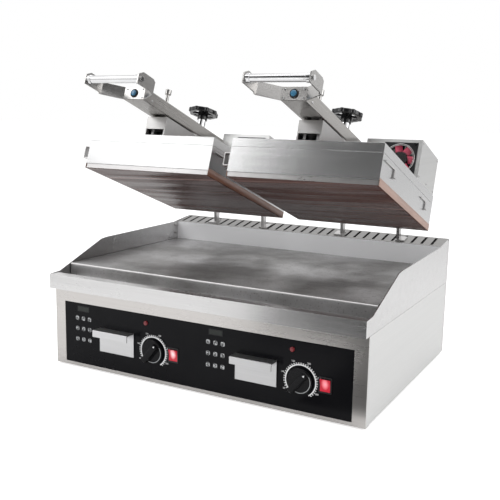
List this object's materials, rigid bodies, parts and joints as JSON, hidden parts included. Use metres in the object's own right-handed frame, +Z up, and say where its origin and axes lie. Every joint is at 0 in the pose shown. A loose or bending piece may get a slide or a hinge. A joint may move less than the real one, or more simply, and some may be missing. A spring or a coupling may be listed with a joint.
{
  "type": "contact grill",
  "caption": "Countertop double contact grill: full-width cooking plate, tilting heated lids on spring arms, control panel, grease drawers.",
  "frame": {"origin": "centre of the footprint, on the surface the feet stand on", "axes": "+X to the right seen from the front, +Y from the front panel to the rear panel, +Z up"},
  "size_m": [0.8, 0.6362, 0.6962],
  "materials": {
    "stainless": "brushed",
    "griddle_steel": "ground and seasoned",
    "panel_black": "gloss",
    "black_plastic": "satin",
    "chrome": "polished",
    "red_lens": "gloss",
    "blue_button": "gloss",
    "red_plastic": "satin",
    "release_film": "gloss, wrinkled",
    "plate_aluminium": "machined",
    "element_steel": "dull",
    "tower_steel": "satin",
    "spring_can": "satin",
    "clip_steel": "satin",
    "foot_rubber": "matt"
  },
  "bodies": {
    "base": {"feet": "foot_rubber", "base_tray": "stainless", "front_frame": "stainless", "side_panels": "stainless", "control_panel": "panel_black", "timer_faces": "panel_black", "pilot_lamps": "red_lens", "thermostats": "black_plastic", "switch_housings": "black_plastic", "top_deck": "stainless", "griddle_plate": "griddle_steel", "lower_elements": "element_steel", "vent_cover": "stainless", "rear_panel": "stainless", "mains_gland": "black_plastic", "hinge_towers": "tower_steel", "hinge_shafts": "chrome", "return_springs": "spring_can"},
    "knob_left": {"knob_left": "black_plastic"},
    "rocker_left": {"rocker_left": "red_lens"},
    "drawer_left": {"drawer_left": "stainless"},
    "arm_left": {"arm_left": "stainless", "handle_bracket_left": "stainless", "handle_grip_left": "chrome"},
    "lid_left": {"carrier_left": "stainless", "lid_cover_left": "stainless", "lid_housing_left": "stainless", "press_plate_left": "plate_aluminium", "release_sheet_left": "release_film", "lid_element_left": "element_steel", "fan_box_left": "stainless", "fan_frame_left": "black_plastic"},
    "start_button_left": {"start_button_left": "blue_button"},
    "lock_pin_left": {"lock_pin_left": "chrome"},
    "handwheel_left": {"handwheel_left": "black_plastic", "wheel_spindle_left": "chrome"},
    "fan_rotor_left": {"fan_rotor_left": "red_plastic"},
    "sheet_clamp_left_left": {"sheet_clamp_left_left": "clip_steel"},
    "sheet_clamp_right_left": {"sheet_clamp_right_left": "clip_steel"},
    "knob_right": {"knob_right": "black_plastic"},
    "rocker_right": {"rocker_right": "red_lens"},
    "drawer_right": {"drawer_right": "stainless"},
    "arm_right": {"arm_right": "stainless", "handle_bracket_right": "stainless", "handle_grip_right": "chrome"},
    "lid_right": {"carrier_right": "stainless", "lid_cover_right": "stainless", "lid_housing_right": "stainless", "press_plate_right": "plate_aluminium", "release_sheet_right": "release_film", "lid_element_right": "element_steel", "fan_box_right": "stainless", "fan_frame_right": "black_plastic"},
    "start_button_right": {"start_button_right": "blue_button"},
    "lock_pin_right": {"lock_pin_right": "chrome"},
    "handwheel_right": {"handwheel_right": "black_plastic", "wheel_spindle_right": "chrome"},
    "fan_rotor_right": {"fan_rotor_right": "red_plastic"},
    "sheet_clamp_left_right": {"sheet_clamp_left_right": "clip_steel"},
    "sheet_clamp_right_right": {"sheet_clamp_right_right": "clip_steel"}
  },
  "joints": [
    {"name": "thermostat_left", "type": "hinge", "parent": "base", "child": "knob_left", "pos_m": [-0.111, -0.285, 0.077], "axis": [0, 1, 0], "range_deg": [0, 290]},
    {"name": "mains_switch_left", "type": "hinge", "parent": "base", "child": "rocker_left", "pos_m": [-0.056, -0.2826, 0.078], "axis": [1, 0, 0], "range_deg": [-14, 0]},
    {"name": "drawer_slide_left", "type": "slide", "parent": "base", "child": "drawer_left", "axis": [0, -1, 0], "range_m": [0, 0.3]},
    {"name": "arm_hinge_left", "type": "hinge", "parent": "base", "child": "arm_left", "pos_m": [-0.199, 0.265, 0.434], "axis": [1, 0, 0], "range_deg": [0, 29.67], "stiffness_Nm_per_rad": 20, "springref_deg": -171.89},
    {"name": "lid_pivot_left", "type": "hinge", "parent": "arm_left", "child": "lid_left", "pos_m": [-0.199, -0.13014, 0.58375], "axis": [1, 0, 0], "range_deg": [-10.2, 0]},
    {"name": "start_press_left", "type": "slide", "parent": "arm_left", "child": "start_button_left", "axis": [0, 0.9421, -0.3355], "range_m": [0, 0.003], "stiffness_N_per_m": 400, "springref_m": -0.002},
    {"name": "lock_pull_left", "type": "slide", "parent": "arm_left", "child": "lock_pin_left", "axis": [0, 0.3355, 0.9421], "range_m": [0, 0.01], "stiffness_N_per_m": 300, "springref_m": -0.006},
    {"name": "pressure_wheel_left", "type": "hinge", "parent": "arm_left", "child": "handwheel_left", "pos_m": [-0.199, 0.06154, 0.61528], "axis": [0, 0.3355, 0.9421], "continuous": true},
    {"name": "fan_spin_left", "type": "hinge", "parent": "lid_left", "child": "fan_rotor_left", "pos_m": [-0.074, 0.08955, 0.51508], "axis": [0, 0.9421, -0.3355], "continuous": true},
    {"name": "clamp_left_left", "type": "hinge", "parent": "lid_left", "child": "sheet_clamp_left_left", "pos_m": [-0.376, -0.17119, 0.52512], "axis": [0, 0.9421, -0.3355], "range_deg": [0, 60]},
    {"name": "clamp_right_left", "type": "hinge", "parent": "lid_left", "child": "sheet_clamp_right_left", "pos_m": [-0.022, -0.13472, 0.51426], "axis": [0, -0.9421, 0.3355], "range_deg": [0, 60]},
    {"name": "thermostat_right", "type": "hinge", "parent": "base", "child": "knob_right", "pos_m": [0.257, -0.285, 0.077], "axis": [0, 1, 0], "range_deg": [0, 290]},
    {"name": "mains_switch_right", "type": "hinge", "parent": "base", "child": "rocker_right", "pos_m": [0.312, -0.2826, 0.078], "axis": [1, 0, 0], "range_deg": [-14, 0]},
    {"name": "drawer_slide_right", "type": "slide", "parent": "base", "child": "drawer_right", "axis": [0, -1, 0], "range_m": [0, 0.3]},
    {"name": "arm_hinge_right", "type": "hinge", "parent": "base", "child": "arm_right", "pos_m": [0.199, 0.265, 0.434], "axis": [1, 0, 0], "range_deg": [0, 29.67], "stiffness_Nm_per_rad": 20, "springref_deg": -171.89},
    {"name": "lid_pivot_right", "type": "hinge", "parent": "arm_right", "child": "lid_right", "pos_m": [0.199, -0.13014, 0.58375], "axis": [1, 0, 0], "range_deg": [-10.2, 0]},
    {"name": "start_press_right", "type": "slide", "parent": "arm_right", "child": "start_button_right", "axis": [0, 0.9421, -0.3355], "range_m": [0, 0.003], "stiffness_N_per_m": 400, "springref_m": -0.002},
    {"name": "lock_pull_right", "type": "slide", "parent": "arm_right", "child": "lock_pin_right", "axis": [0, 0.3355, 0.9421], "range_m": [0, 0.01], "stiffness_N_per_m": 300, "springref_m": -0.006},
    {"name": "pressure_wheel_right", "type": "hinge", "parent": "arm_right", "child": "handwheel_right", "pos_m": [0.199, 0.06154, 0.61528], "axis": [0, 0.3355, 0.9421], "continuous": true},
    {"name": "fan_spin_right", "type": "hinge", "parent": "lid_right", "child": "fan_rotor_right", "pos_m": [0.324, 0.08955, 0.51508], "axis": [0, 0.9421, -0.3355], "continuous": true},
    {"name": "clamp_left_right", "type": "hinge", "parent": "lid_right", "child": "sheet_clamp_left_right", "pos_m": [0.022, -0.17119, 0.52512], "axis": [0, 0.9421, -0.3355], "range_deg": [0, 60]},
    {"name": "clamp_right_right", "type": "hinge", "parent": "lid_right", "child": "sheet_clamp_right_right", "pos_m": [0.376, -0.13472, 0.51426], "axis": [0, -0.9421, 0.3355], "range_deg": [0, 60]}
  ],
  "couplings": [
    {"joint": "lid_pivot_left", "follows": "arm_hinge_left", "ratio": -0.33946},
    {"joint": "lid_pivot_right", "follows": "arm_hinge_right", "ratio": -0.33946}
  ]
}
